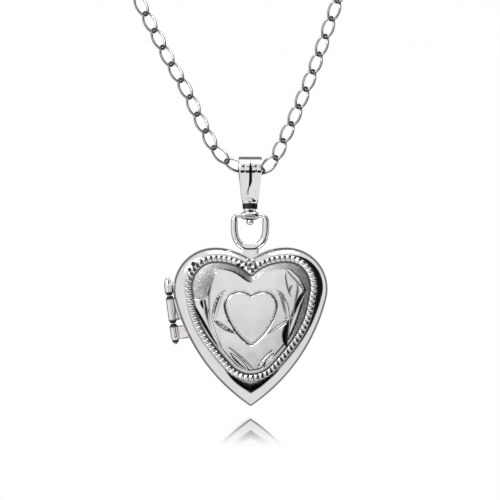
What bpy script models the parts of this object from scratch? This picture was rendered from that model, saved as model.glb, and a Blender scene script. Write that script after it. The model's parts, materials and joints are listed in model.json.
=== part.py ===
"""A heart-shaped hinged locket, hanging by a loop and a bail from a fine curb chain.

Metres, +Z up, front towards -Y. The origin is the point where the bail hangs on the chain.
The two halves of the heart meet at the plane Y = 0.
"""

import math

import bmesh
import bpy
from mathutils import Matrix, Vector
from mathutils.geometry import interpolate_bezier

MM = 0.001

# Heart outline: for each half an inner arc from the cleft to the top of the lobe, the lobe
# itself, and a long side arc down to the tip. The arcs meet tangent to each other.
LOBE_TOP_Z = -6.2 * MM
LOBE_X = 2.85 * MM
LOBE_RADIUS = 3.3 * MM
CLEFT_RADIUS = 4.8 * MM
SIDE_RADIUS = 14.5 * MM
SIDE_START = math.radians(-14)
CLEFT_STEPS, LOBE_STEPS, SIDE_STEPS = 4, 10, 8
WELD = 0.001 * MM  # points closer than this are one point

# Covers: a wall bent from sheet, with a flat field in front of a rounded shoulder
HALF_GAP = 0.03 * MM
WALL = 0.3 * MM
HALF_DEPTH = 2.05 * MM
SHOULDER = (  # (inset from the outline, depth from the middle plane)
    (0.0, HALF_GAP),
    (0.0, 0.9 * MM),
    (0.06 * MM, 1.2 * MM),
    (0.22 * MM, 1.5 * MM),
    (0.5 * MM, 1.74 * MM),
    (0.9 * MM, 1.92 * MM),
    (1.4 * MM, 2.02 * MM),
    (1.75 * MM, HALF_DEPTH),
)
NICK_RADIUS = 0.5 * MM
NICK_DEPTH = 0.16 * MM
NICK_ANGLE = math.radians(-46)

# Frames inside the covers
FIT = 0.04 * MM
RIM_INSET = WALL + FIT
RIM_OPENING = 1.15 * MM
LIP_THICKNESS = 0.2 * MM
LIP_HEIGHT = 0.4 * MM
BACK_FLANGE = (0.25 * MM, 0.45 * MM)  # nearest and furthest from the middle plane
BACK_WINDOW = (0.13 * MM, 0.22 * MM)
BACK_FRAME = (-0.12 * MM, 0.10 * MM)
FRONT_FLANGE = (-1.0 * MM, -0.81 * MM)
FRONT_WINDOW = (-0.78 * MM, -0.69 * MM)
FRONT_FRAME = (-0.66 * MM, -0.44 * MM)
FRAME_OPENING = 1.35 * MM
BACK_FRAME_INSET = RIM_INSET + LIP_THICKNESS + FIT
FRONT_FRAME_INSET = RIM_INSET + 0.06 * MM
TONGUE_Z = -10.4 * MM
TONGUE_LENGTH = 1.4 * MM
TONGUE_THICKNESS = 0.16 * MM
BEAD_HEIGHT, BEAD_HALF = 0.03 * MM, 0.07 * MM
BEAD_Y = -0.26 * MM
TONGUE_BLOCK = 2 * MM  # size of the block that cuts the tongue's place out of the border

# Hinge: a straight axis along the left side, leaning with the side of the heart
HINGE_POINT = Vector((-6.38 * MM, 0.0, -10.44 * MM))
HINGE_LEAN = math.radians(7.5)
BARREL_RADIUS = 0.34 * MM
NECK_RADIUS = 0.25 * MM
NECK_LENGTH, NECK_STEP = 0.14 * MM, 0.01 * MM
TIP_RADIUS, TAPER_LENGTH = 0.22 * MM, 0.42 * MM
BORE_RADIUS = 0.15 * MM
PIN_RADIUS = 0.12 * MM
PIN_HEAD = (0.18 * MM, 0.1 * MM)  # radius and height
KNUCKLE_GAP = 0.08 * MM
UPPER_END, UPPER_JOINT = 1.68 * MM, 0.38 * MM  # along the axis, up from HINGE_POINT
LOWER_JOINT, LOWER_END = -1.86 * MM, -3.39 * MM
LEAF_THICKNESS = 0.27 * MM
LEAF_START = 0.05 * MM  # from the axis, inside the barrel
LEAF_REACH = 1.6 * MM
LEAF_SHORTER = 0.21 * MM  # than the barrel, at each end
NOTCH_CLEARANCE = 0.05 * MM
CHANNEL_MARGIN = 0.5 * MM  # past each end of the hinge

# Hanging loop: a straight bar in the bail's barrel, shoulders, and sides that close on a tab
BAR_Z = -3.66 * MM
BAR_RADIUS = 0.17 * MM
BAR_HALF = 0.87 * MM
LOOP_WIRE_RADIUS = 0.28 * MM
LOOP_CORNER = 0.39 * MM
LOOP_SIDE = (  # Bezier handles and end (x, z), from the foot of the corner into the tab
    (1.3 * MM, -5.1 * MM), (1.25 * MM, -5.9 * MM), (0.3 * MM, -6.25 * MM),
)
THICKENING_POINTS = 5  # the wire thickens over this many points from the bar's end
TAB_SIZE = (1.36 * MM, 0.52 * MM, 1.35 * MM)
TAB_TOP = -5.85 * MM

# Bail: a folded, tapered strip above a collar, a barrel and a knob
EYE_RADIUS = 0.79 * MM
STRIP = 0.25 * MM
BAIL_TOP_WIDTH = 1.83 * MM
BAIL_FOOT_WIDTH = 1.36 * MM
BAIL_FOOT_Z = -2.42 * MM
BAIL_FOOT_DEPTH = 0.72 * MM
EYE_FOOT_Z = -1.95 * MM
EYE_FOOT_RADIUS = 0.1 * MM
COLLAR_FLATTENING = 0.66
COLLAR_PROFILE = (  # (radius, z), down the outside
    (0.0, -2.2 * MM),
    (0.6 * MM, -2.24 * MM),
    (0.65 * MM, -2.36 * MM),
    (0.65 * MM, -2.56 * MM),
    (0.6 * MM, -2.68 * MM),
    (0.6 * MM, -2.9 * MM),
    (0.61 * MM, -3.1 * MM),
    (0.52 * MM, -3.16 * MM),
    (0.46 * MM, -3.5 * MM),
    (0.0, -3.55 * MM),
)
BAR_CLEARANCE = 0.03 * MM
EYELET_RADIUS = 0.36 * MM
EYELET_HALF, EYELET_BEVEL = 0.81 * MM, 0.1 * MM
KNOB_PROFILE = (
    (0.0, -3.95 * MM),
    (0.22 * MM, -3.97 * MM),
    (0.3 * MM, -4.12 * MM),
    (0.3 * MM, -4.26 * MM),
    (0.2 * MM, -4.38 * MM),
    (0.0, -4.42 * MM),
)

# Chain: flat-lying curb links, each twisted a quarter turn from end to end
PITCH = 1.5 * MM
LINK_WIRE_RADIUS = 0.1 * MM
LINK_SLACK = 0.05 * MM
LINK_HALF_LENGTH = PITCH / 2 + LINK_WIRE_RADIUS + LINK_SLACK / 2
LINK_HALF_WIDTH = 0.425 * MM
LINK_TWIST = math.radians(45)
LINK_POINTS = 14
LINK_SQUARENESS = 0.88
CENTRE_LINK_START = Vector((-0.48 * MM, 0.0, 0.08 * MM))
CENTRE_LINK_RISE = -7.5
LEFT_RISES = (23, 46, 64, 63, 67, 62, 59, 63, 63, 63, 63, 63)  # degrees, link by link
RIGHT_RISES = (45, 67, 64, 67, 68, 68, 70, 71, 71, 71, 72)

# Fittings at the two ends of the chain
JUMP_RADIUS, JUMP_WIRE_RADIUS = 0.75 * MM, 0.14 * MM
END_RING_RADIUS, END_RING_WIRE_RADIUS = 1.35 * MM, 0.2 * MM
RING_SLACK = 0.04 * MM
CLASP_RADIUS = 2.0 * MM
CLASP_TUBE_RADIUS = 0.5 * MM
CLASP_WALL = 0.12 * MM
TAG_RADIUS, TAG_WIRE_RADIUS = 0.42 * MM, 0.16 * MM
TAG_LIFT = 0.05 * MM  # of the tag wire's centre line over the tube's surface
BOLT_RADIUS = 0.3 * MM
# Angles round the clasp, in degrees from its tag
CLASP_MOUTH = (118, 160)
BOLT_SPAN = (113, 200)
TRIGGER_SLOT = (165, 222)
TRIGGER_AT = 170
SLOT_WIDTH = 0.3 * MM
TRIGGER_WIDTH = 0.2 * MM
TRIGGER_LENGTH = 0.75 * MM
SPRING_SPAN = (203, 300)
SPRING_TURNS = 6
SPRING_RADIUS = 0.24 * MM
SPRING_WIRE_RADIUS = 0.04 * MM

SILVER = (0.82, 0.81, 0.81, 1.0)
STEEL = (0.62, 0.62, 0.63, 1.0)
ACETATE = (0.9, 0.92, 0.93, 1.0)


def clear_scene():
    for obj in list(bpy.data.objects):
        bpy.data.objects.remove(obj)


def new_collection(name):
    made = bpy.data.collections.new(name)
    bpy.context.scene.collection.children.link(made)
    return made


def material(name, colour, roughness, metallic, transmission=0.0):
    made = bpy.data.materials.new(name)
    made.use_nodes = True
    shader = made.node_tree.nodes["Principled BSDF"]
    shader.inputs["Base Color"].default_value = colour
    shader.inputs["Roughness"].default_value = roughness
    shader.inputs["Metallic"].default_value = metallic
    shader.inputs["Transmission Weight"].default_value = transmission
    return made


def part(name, data, pivot, colour=SILVER, roughness=0.12, metallic=1.0, transmission=0.0):
    """A sub-part whose data is in world coordinates, carried by the empty pivot."""
    made = bpy.data.objects.new(name, data)
    data.materials.append(material(name, colour, roughness, metallic, transmission))
    parts.objects.link(made)
    if pivot:
        made.parent = pivot
        made.matrix_parent_inverse = pivot.matrix_world.inverted()
    return made


def helper(name, data):
    """A shape that only cuts or joins."""
    made = bpy.data.objects.new(name, data)
    made.hide_render = True
    made.display_type = "WIRE"
    cutters.objects.link(made)
    return made


def pivot_at(name, matrix, parent=None):
    made = bpy.data.objects.new(name, None)
    made.empty_display_size = MM
    parts.objects.link(made)
    if parent:
        made.parent = parent
        made.matrix_parent_inverse = parent.matrix_world.inverted()
    made.matrix_basis = matrix
    bpy.context.view_layer.update()
    return made


def boolean(obj, operation, other):
    modifier = obj.modifiers.new(operation.lower() + " " + other.name, "BOOLEAN")
    modifier.operation = operation
    modifier.object = other


def mesh_from(bm, name):
    """The bmesh as a mesh, with its faces turned outwards and its round faces smooth."""
    bmesh.ops.recalc_face_normals(bm, faces=bm.faces)
    made = bpy.data.meshes.new(name)
    bm.to_mesh(made)
    bm.free()
    made.shade_smooth()
    made.set_sharp_from_angle(angle=math.radians(35))
    return made


def arc(centre, radius, start, end, steps):
    """Points (x, z) from the angle start to the angle end, both included."""
    angles = [start + (end - start) * i / steps for i in range(steps + 1)]
    return [(centre[0] + radius * math.cos(a), centre[1] + radius * math.sin(a)) for a in angles]


def side_centre():
    reach = LOBE_RADIUS - SIDE_RADIUS
    return (
        LOBE_X + reach * math.cos(SIDE_START),
        LOBE_TOP_Z - LOBE_RADIUS + reach * math.sin(SIDE_START),
    )


def heart(inset):
    """The closed outline (x, z), moved inwards by inset: cleft, right half, tip, left half."""
    cleft_radius = CLEFT_RADIUS - inset
    side_radius = SIDE_RADIUS - inset
    side = side_centre()
    cleft = math.acos(-LOBE_X / cleft_radius)
    tip = -math.acos(-side[0] / side_radius)
    right = arc((LOBE_X, LOBE_TOP_Z - CLEFT_RADIUS), cleft_radius, cleft, math.pi / 2, CLEFT_STEPS)
    lobe_centre = (LOBE_X, LOBE_TOP_Z - LOBE_RADIUS)
    right += arc(lobe_centre, LOBE_RADIUS - inset, math.pi / 2, SIDE_START, LOBE_STEPS)[1:]
    right += arc(side, side_radius, SIDE_START, tip, SIDE_STEPS)[1:]
    left = [(-x, z) for x, z in reversed(right[1:-1])]
    return right + left


def ring_of(bm, inset, y):
    return [bm.verts.new((x, y, z)) for x, z in heart(inset)]


def bridge(bm, first, second):
    for i, vert in enumerate(first):
        after = (i + 1) % len(first)
        bm.faces.new((vert, first[after], second[after], second[i]))


def heart_shell(name, side):
    """One cover as an open surface, from its edge at the middle plane to the flat field."""
    bm = bmesh.new()
    rings = [ring_of(bm, inset, side * depth) for inset, depth in SHOULDER]
    for first, second in zip(rings, rings[1:]):
        bridge(bm, first, second)
    bm.faces.new(rings[-1])
    return mesh_from(bm, name)


def heart_ring(name, section):
    """A closed ring that follows the outline, with a section given as (inset, y) points."""
    bm = bmesh.new()
    rings = [ring_of(bm, inset, y) for inset, y in section]
    for i, ring in enumerate(rings):
        bridge(bm, ring, rings[(i + 1) % len(rings)])
    return mesh_from(bm, name)


def heart_plate(name, levels, *insets):
    """A flat heart between two levels of Y, inset by the first inset and open inside the second."""
    near, far = levels
    curve = bpy.data.curves.new(name, "CURVE")
    curve.dimensions = "2D"
    curve.fill_mode = "BOTH"
    curve.extrude = (far - near) / 2
    for inset in insets:
        outline = heart(inset)
        spline = curve.splines.new("POLY")
        spline.points.add(len(outline) - 1)
        for i, (x, z) in enumerate(outline):
            spline.points[i].co = (x, z, 0, 1)
        spline.use_cyclic_u = True
    upright = Matrix.Translation((0, (near + far) / 2, 0)) @ Matrix.Rotation(math.pi / 2, 4, "X")
    return evaluated(bpy.data.objects.new(name, curve), name, upright)


def box(name, size, matrix):
    bm = bmesh.new()
    bmesh.ops.create_cube(bm, size=1.0, matrix=matrix @ Matrix.Diagonal((*size, 1.0)))
    return mesh_from(bm, name)


def cylinder(name, radius, length, matrix, segments=20):
    """A cylinder along the matrix's Z axis, centred on its origin."""
    bm = bmesh.new()
    bmesh.ops.create_cone(
        bm, cap_ends=True, segments=segments, radius1=radius, radius2=radius, depth=length,
        matrix=matrix,
    )
    return mesh_from(bm, name)


def evaluated(guide, name, matrix=Matrix()):
    """The guide object's final mesh with its seams welded, moved by matrix. Removes the guide."""
    bpy.context.scene.collection.objects.link(guide)
    graph = bpy.context.evaluated_depsgraph_get()
    made = bpy.data.meshes.new_from_object(guide.evaluated_get(graph))
    bpy.data.objects.remove(guide)
    bm = bmesh.new()
    bm.from_mesh(made)
    bmesh.ops.remove_doubles(bm, verts=bm.verts, dist=WELD)
    bm.transform(matrix)
    bpy.data.meshes.remove(made)
    return mesh_from(bm, name)


def turned(name, profile, matrix, segments=20):
    """A solid turned round the matrix's Z axis from (radius, height) points, top to bottom."""
    line = bpy.data.meshes.new(name + "_profile")
    edges = [(i, i + 1) for i in range(len(profile) - 1)]
    line.from_pydata([(radius, 0, height) for radius, height in profile], edges, [])
    guide = bpy.data.objects.new(name, line)
    screw = guide.modifiers.new("turn", "SCREW")
    screw.steps = screw.render_steps = segments
    screw.use_merge_vertices = True
    screw.merge_threshold = WELD
    return evaluated(guide, name, matrix)


def wire(name, points, radius, closed, radii=None, resolution=2):
    """A round wire through the points, thicker where radii is over 1."""
    curve = bpy.data.curves.new(name, "CURVE")
    curve.dimensions = "3D"
    curve.bevel_depth = radius
    curve.bevel_resolution = resolution
    curve.use_fill_caps = not closed
    spline = curve.splines.new("POLY")
    spline.points.add(len(points) - 1)
    for i, place in enumerate(points):
        spline.points[i].co = (*place, 1.0)
        spline.points[i].radius = radii[i] if radii else 1.0
    spline.use_cyclic_u = closed
    return curve


def as_mesh(curve, name):
    """The curve's final mesh, for Booleans."""
    return evaluated(bpy.data.objects.new(name, curve), name)


# ---- Covers ----


def hinge_matrix(along=0.0):
    """A frame on the hinge axis, its Z pointing up along the axis and its Y to the back."""
    return Matrix.Translation(HINGE_POINT) @ Matrix.Rotation(-HINGE_LEAN, 4, "Y") @ (
        Matrix.Translation((0, 0, along))
    )


def make_cutters():
    middle = (UPPER_END + LOWER_END) / 2
    length = UPPER_END - LOWER_END + 2 * CHANNEL_MARGIN
    helpers["notch"] = helper("hinge_notch", cylinder(
        "hinge_notch", BARREL_RADIUS + NOTCH_CLEARANCE, length, hinge_matrix(middle), 28,
    ))
    helpers["bore"] = helper("hinge_bore", cylinder(
        "hinge_bore", BORE_RADIUS, length, hinge_matrix(middle),
    ))
    helpers["heart"] = helper("heart_space", heart_plate(
        "heart_space", (-HALF_DEPTH * 1.5, HALF_DEPTH * 1.5), -HALF_GAP,
    ))
    x, z = side_centre()
    reach = SIDE_RADIUS + NICK_RADIUS - NICK_DEPTH
    bm = bmesh.new()
    place = (x + reach * math.cos(NICK_ANGLE), 0.0, z + reach * math.sin(NICK_ANGLE))
    bmesh.ops.create_uvsphere(
        bm, u_segments=16, v_segments=10, radius=NICK_RADIUS, matrix=Matrix.Translation(place),
    )
    helpers["nick"] = helper("nail_nick", mesh_from(bm, "nail_nick"))


def make_cover(name, side, pivot):
    cover = part(name, heart_shell(name, side), pivot)
    solidify = cover.modifiers.new("wall", "SOLIDIFY")
    solidify.thickness = WALL
    solidify.offset = -1.0
    solidify.use_even_offset = True
    solidify.use_quality_normals = True
    boolean(cover, "DIFFERENCE", helpers["notch"])
    boolean(cover, "DIFFERENCE", helpers["nick"])


def make_insides():
    near = BACK_FLANGE[0]
    rim = part("back_rim", heart_plate("back_rim", BACK_FLANGE, RIM_INSET, RIM_OPENING),
               locket_pivot)
    lip_levels = (-LIP_HEIGHT, near + LIP_THICKNESS / 2)
    boolean(rim, "UNION", helper("back_rim_lip", heart_plate(
        "back_rim_lip", lip_levels, RIM_INSET, RIM_INSET + LIP_THICKNESS,
    )))
    gap = Matrix.Translation((LOBE_X + LOBE_RADIUS, near - TONGUE_BLOCK / 2, TONGUE_Z))
    gap_size = (TONGUE_BLOCK, TONGUE_BLOCK, TONGUE_LENGTH + 4 * FIT)
    boolean(rim, "DIFFERENCE", helper("lip_gap", box("lip_gap", gap_size, gap)))
    part("front_rim", heart_plate("front_rim", FRONT_FLANGE, RIM_INSET + FIT, RIM_OPENING),
         cover_pivot)
    for name, levels, inset, pivot in (
        ("back_photo_frame", BACK_FRAME, BACK_FRAME_INSET, locket_pivot),
        ("front_photo_frame", FRONT_FRAME, FRONT_FRAME_INSET, cover_pivot),
    ):
        part(name, heart_plate(name, levels, inset, FRAME_OPENING), pivot)
    clear = {"colour": ACETATE, "roughness": 0.05, "metallic": 0.0, "transmission": 1.0}
    part("back_window", heart_plate("back_window", BACK_WINDOW, BACK_FRAME_INSET),
         locket_pivot, **clear)
    part("front_window", heart_plate("front_window", FRONT_WINDOW, FRONT_FRAME_INSET),
         cover_pivot, **clear)
    make_tongue(near - FIT)


def make_tongue(foot):
    """A strip of spring with a bead along its outer face, standing in the gap of the lip."""
    outer = RIM_INSET + FIT / 2
    inner = outer + TONGUE_THICKNESS
    tip = -LIP_HEIGHT + FIT / 2
    tongue = part("catch_tongue", heart_ring("catch_tongue", (
        (outer, foot), (inner, foot), (inner, tip), (outer + BEAD_HEIGHT, tip),
        (outer, BEAD_Y - BEAD_HALF), (outer - BEAD_HEIGHT, BEAD_Y), (outer, BEAD_Y + BEAD_HALF),
    )), locket_pivot, STEEL, 0.2)
    place = Matrix.Translation((LOBE_X + LOBE_RADIUS, 0, TONGUE_Z))
    size = (TONGUE_BLOCK, TONGUE_BLOCK, TONGUE_LENGTH)
    boolean(tongue, "INTERSECT", helper("tongue_length", box("tongue_length", size, place)))


# ---- Hinge ----


def knuckle_end(end, inwards, outer):
    """Profile (radius, height) from the end's edge to the full barrel; inwards is 1 or -1.

    An outer end tapers; an end beside another knuckle steps down to a short neck.
    """
    if outer:
        return [(TIP_RADIUS, end), (BARREL_RADIUS, end + inwards * TAPER_LENGTH)]
    step = end + inwards * NECK_LENGTH
    return [(NECK_RADIUS, end), (NECK_RADIUS, step), (BARREL_RADIUS, step + inwards * NECK_STEP)]


def make_knuckle(name, top, bottom, side, pivot, top_outer=False, bottom_outer=False):
    """A barrel round the pin and a leaf that runs to the cover's wall."""
    upper = knuckle_end(top, -1, top_outer)
    lower = knuckle_end(bottom, 1, bottom_outer)[::-1]
    profile = [(0, top)] + upper + lower + [(0, bottom)]
    knuckle = part(name, turned(name, profile, hinge_matrix()), pivot)
    place = hinge_matrix((top + bottom) / 2) @ Matrix.Translation(
        (LEAF_START + LEAF_REACH / 2, side * (HALF_GAP + LEAF_THICKNESS / 2), 0)
    )
    size = (LEAF_REACH, LEAF_THICKNESS, top - bottom - 2 * LEAF_SHORTER)
    leaf = helper(name + "_leaf", box(name + "_leaf", size, place))
    boolean(leaf, "DIFFERENCE", helpers["heart"])
    boolean(knuckle, "UNION", leaf)
    boolean(knuckle, "DIFFERENCE", helpers["bore"])


def make_hinge():
    half = KNUCKLE_GAP / 2
    make_knuckle("hinge_knuckle_upper", UPPER_END, UPPER_JOINT + half, 1, locket_pivot,
                 top_outer=True)
    make_knuckle("hinge_knuckle_middle", UPPER_JOINT - half, LOWER_JOINT + half, -1, cover_pivot)
    make_knuckle("hinge_knuckle_lower", LOWER_JOINT - half, LOWER_END, 1, locket_pivot,
                 bottom_outer=True)
    head_radius, head = PIN_HEAD
    top, bottom = UPPER_END + FIT, LOWER_END - FIT
    part("hinge_pin", turned("hinge_pin", (
        (0, top + head), (head_radius * 0.6, top + head), (head_radius, top + head * 0.4),
        (head_radius, top), (PIN_RADIUS, top), (PIN_RADIUS, bottom), (head_radius, bottom),
        (head_radius, bottom - head * 0.4), (head_radius * 0.6, bottom - head),
        (0, bottom - head),
    ), hinge_matrix()), locket_pivot, STEEL, 0.25)


# ---- Hanging loop and bail ----


def make_loop():
    corner = arc((BAR_HALF, BAR_Z - LOOP_CORNER), LOOP_CORNER, math.pi / 2, 0, 5)
    side = interpolate_bezier(corner[-1], *LOOP_SIDE, 9)[1:]
    half = [(x, 0, z) for x, z in corner] + [(p.x, 0, p.y) for p in side]
    thick = LOOP_WIRE_RADIUS / BAR_RADIUS
    radii = [min(thick, 1 + (thick - 1) * i / THICKENING_POINTS) for i in range(len(half))]
    route = half + [(-x, 0, z) for x, _, z in reversed(half)]
    curve = wire("hanging_loop", route, BAR_RADIUS, True, radii + radii[::-1])
    loop = part("hanging_loop", as_mesh(curve, "hanging_loop"), locket_pivot)
    place = Matrix.Translation((0, 0, TAB_TOP - TAB_SIZE[2] / 2))
    boolean(loop, "UNION", helper("loop_tab", box("loop_tab", TAB_SIZE, place)))
    boolean(loop, "DIFFERENCE", helpers["heart"])


def teardrop(radius, foot, foot_z):
    """A closed outline (y, z): a circle on the origin that narrows to 2 x foot at foot_z."""
    lean = math.atan2(radius - foot, -foot_z)
    points = arc((0, 0), radius, -lean, math.pi + lean, 16)
    return points + [(-foot, foot_z), (foot, foot_z)]


def make_bail():
    bm = bmesh.new()
    half = BAIL_TOP_WIDTH / 2
    outer = teardrop(EYE_RADIUS + STRIP, BAIL_FOOT_DEPTH / 2, BAIL_FOOT_Z)
    inner = teardrop(EYE_RADIUS, EYE_FOOT_RADIUS, EYE_FOOT_Z)
    rings = [
        [bm.verts.new((side * half, y, z)) for y, z in outline]
        for side, outline in ((-1, outer), (1, outer), (1, inner), (-1, inner))
    ]
    for i, ring in enumerate(rings):
        bridge(bm, ring, rings[(i + 1) % 4])
    for vert in bm.verts:
        down = min(max(vert.co.z / BAIL_FOOT_Z, 0), 1)
        vert.co.x *= 1 + down * (BAIL_FOOT_WIDTH / BAIL_TOP_WIDTH - 1)
    bail = part("bail", mesh_from(bm, "bail"), bail_pivot)
    flatten = Matrix.Diagonal((1, COLLAR_FLATTENING, 1, 1))
    boolean(bail, "UNION", helper("bail_collar", turned("bail_collar", COLLAR_PROFILE, flatten)))
    across = Matrix.Translation((0, 0, BAR_Z)) @ Matrix.Rotation(math.pi / 2, 4, "Y")
    edge = EYELET_BEVEL
    barrel = turned("bail_barrel", (
        (0, EYELET_HALF), (EYELET_RADIUS - edge, EYELET_HALF), (EYELET_RADIUS, EYELET_HALF - edge),
        (EYELET_RADIUS, edge - EYELET_HALF), (EYELET_RADIUS - edge, -EYELET_HALF),
        (0, -EYELET_HALF),
    ), across)
    boolean(bail, "UNION", helper("bail_barrel", barrel))
    boolean(bail, "UNION", helper("bail_knob", turned("bail_knob", KNOB_PROFILE, Matrix())))
    bore = cylinder("bail_bore", BAR_RADIUS + BAR_CLEARANCE, 3 * EYELET_HALF, across)
    boolean(bail, "DIFFERENCE", helper("bail_bore", bore))


# ---- Chain ----


def power(value, exponent):
    return math.copysign(abs(value) ** exponent, value)


def make_link(name, start, end):
    along = (end - start).normalized()
    back = Vector((0, 1, 0))
    across = back.cross(along)
    points = []
    for i in range(LINK_POINTS):
        turn = 2 * math.pi * (i + 0.5) / LINK_POINTS
        x = LINK_HALF_LENGTH * power(math.cos(turn), LINK_SQUARENESS)
        width = LINK_HALF_WIDTH * power(math.sin(turn), LINK_SQUARENESS)
        twist = LINK_TWIST * x / LINK_HALF_LENGTH
        spread = across * math.cos(twist) + back * math.sin(twist)
        points.append((start + end) / 2 + along * x + spread * width)
    part(name, wire(name, points, LINK_WIRE_RADIUS, True, resolution=1), None)


def make_strand(side, start, rises):
    """The links of one strand. Returns its last joint and the direction it ends in."""
    word = "left" if side < 0 else "right"
    for number, rise in enumerate(rises, 1):
        angle = math.radians(rise)
        along = Vector((side * math.cos(angle), 0, math.sin(angle)))
        end = start + along * PITCH
        make_link(f"chain_link_{word}_{number:02}", start, end)
        start = end
    return start, along


def ring_points(centre, radius, first, second, count):
    """Points of a circle in the plane of the directions first and second."""
    turns = [2 * math.pi * i / count for i in range(count)]
    return [centre + first * radius * math.cos(t) + second * radius * math.sin(t) for t in turns]


def make_ring(name, centre, radius, wire_radius, along, across, count=18):
    points = ring_points(centre, radius, along, across, count)
    part(name, wire(name, points, wire_radius, True, resolution=1), None)


def make_chain():
    rise = math.radians(CENTRE_LINK_RISE)
    right_start = CENTRE_LINK_START + Vector((math.cos(rise), 0, math.sin(rise))) * PITCH
    make_link("chain_link_centre", CENTRE_LINK_START, right_start)
    left_end, left_way = make_strand(-1, CENTRE_LINK_START, LEFT_RISES)
    right_end, right_way = make_strand(1, right_start, RIGHT_RISES)
    back = Vector((0, 1, 0))
    inset = JUMP_RADIUS - JUMP_WIRE_RADIUS - RING_SLACK / 2
    left_jump = left_end + left_way * inset
    right_jump = right_end + right_way * inset
    make_ring("jump_ring_left", left_jump, JUMP_RADIUS, JUMP_WIRE_RADIUS, left_way, back)
    make_ring("jump_ring_right", right_jump, JUMP_RADIUS, JUMP_WIRE_RADIUS, right_way, back)
    held = JUMP_RADIUS - JUMP_WIRE_RADIUS - RING_SLACK
    reach = held - END_RING_WIRE_RADIUS + END_RING_RADIUS
    make_ring("clasp_end_ring", right_jump + right_way * reach, END_RING_RADIUS,
              END_RING_WIRE_RADIUS, right_way, back.cross(right_way), 22)
    return left_jump + left_way * (held - TAG_WIRE_RADIUS + TAG_RADIUS), left_way


# ---- Clasp ----


def clasp_frame(tag, way):
    """A frame on the clasp's centre: X towards its tag, Z along +Y, the axis it turns on."""
    centre = tag + way * (TAG_RADIUS + TAG_LIFT + CLASP_TUBE_RADIUS + CLASP_RADIUS)
    down = -way
    axis = Vector((0, 1, 0))
    return Matrix.Translation(centre) @ Matrix((down, axis.cross(down), axis)).transposed().to_4x4()


def bent(name, frame, span, outline, steps, closed_ends=True):
    """A closed outline (outwards, sideways) carried round the clasp's ring through span."""
    bm = bmesh.new()
    rings = []
    for i in range(steps + 1):
        turn = math.radians(span[0] + (span[1] - span[0]) * i / steps)
        rings.append([
            bm.verts.new(frame @ Vector((
                (CLASP_RADIUS + out) * math.cos(turn), (CLASP_RADIUS + out) * math.sin(turn), side,
            )))
            for out, side in outline
        ])
    for first, second in zip(rings, rings[1:]):
        bridge(bm, first, second)
    if closed_ends:
        bm.faces.new(rings[0])
        bm.faces.new(rings[-1])
    return mesh_from(bm, name)


def circle(radius, count=10):
    return arc((0, 0), radius, 0, 2 * math.pi * (count - 1) / count, count - 1)


def make_clasp(tag, way):
    frame = clasp_frame(tag, way)
    trigger_pivot = pivot_at("trigger_pivot", frame)
    open_span = (CLASP_MOUTH[1], CLASP_MOUTH[0] + 360)
    tube = bent("clasp_body", frame, open_span, circle(CLASP_TUBE_RADIUS), 24, False)
    body = part("clasp_body", tube, None)
    wall = body.modifiers.new("wall", "SOLIDIFY")
    wall.thickness = CLASP_WALL
    wall.offset = -1.0
    across = way.cross(Vector((0, 1, 0)))
    ring = wire("clasp_tag", ring_points(tag, TAG_RADIUS, way, across, 16), TAG_WIRE_RADIUS, True)
    boolean(body, "UNION", helper("clasp_tag", as_mesh(ring, "clasp_tag")))
    half = SLOT_WIDTH / 2
    slot_outline = ((0, -half), (MM, -half), (MM, half), (0, half))
    slot = bent("trigger_slot", frame, TRIGGER_SLOT, slot_outline, 8)
    boolean(body, "DIFFERENCE", helper("trigger_slot", slot))

    bolt = part("clasp_trigger", bent("clasp_trigger", frame, BOLT_SPAN, circle(BOLT_RADIUS), 12),
                trigger_pivot)
    reach = CLASP_RADIUS + BOLT_RADIUS / 2 + TRIGGER_LENGTH / 2
    place = frame @ Matrix.Rotation(math.radians(TRIGGER_AT), 4, "Z") @ (
        Matrix.Translation((reach, 0, 0))
    )
    lever = box("trigger_lever", (TRIGGER_LENGTH, TRIGGER_WIDTH, TRIGGER_WIDTH), place)
    boolean(bolt, "UNION", helper("trigger_lever", lever))
    make_spring(frame)


def make_spring(frame):
    steps = SPRING_TURNS * 8
    points = []
    for i in range(steps + 1):
        turn = math.radians(SPRING_SPAN[0] + (SPRING_SPAN[1] - SPRING_SPAN[0]) * i / steps)
        coil = 2 * math.pi * i / 8
        out = CLASP_RADIUS + SPRING_RADIUS * math.cos(coil)
        side = SPRING_RADIUS * math.sin(coil)
        points.append(frame @ Vector((out * math.cos(turn), out * math.sin(turn), side)))
    curve = wire("clasp_spring", points, SPRING_WIRE_RADIUS, False, resolution=0)
    part("clasp_spring", curve, None, STEEL, 0.25)


clear_scene()
parts = new_collection("heart_locket")
cutters = new_collection("cutters")
helpers = {}

bail_pivot = pivot_at("bail_pivot", Matrix())
locket_pivot = pivot_at("locket_pivot", Matrix.Translation((0, 0, BAR_Z)), bail_pivot)
cover_pivot = pivot_at("cover_pivot", hinge_matrix(), locket_pivot)

make_cutters()
make_cover("back_cover", 1, locket_pivot)
make_cover("front_cover", -1, cover_pivot)
make_insides()
make_hinge()
make_loop()
make_bail()
make_clasp(*make_chain())
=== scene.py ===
"""The looks of the heart locket: engraved, polished silver on a fine curb chain.

Every visible piece stands for one CAD node and has the same place and size, with a finer surface.
Lengths below are in millimetres and become metres where a mesh is made.
"""

import json
import math

import bmesh
import bpy
import numpy as np
from mathutils import Matrix, Vector
from mathutils.geometry import delaunay_2d_cdt, interpolate_bezier


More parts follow.
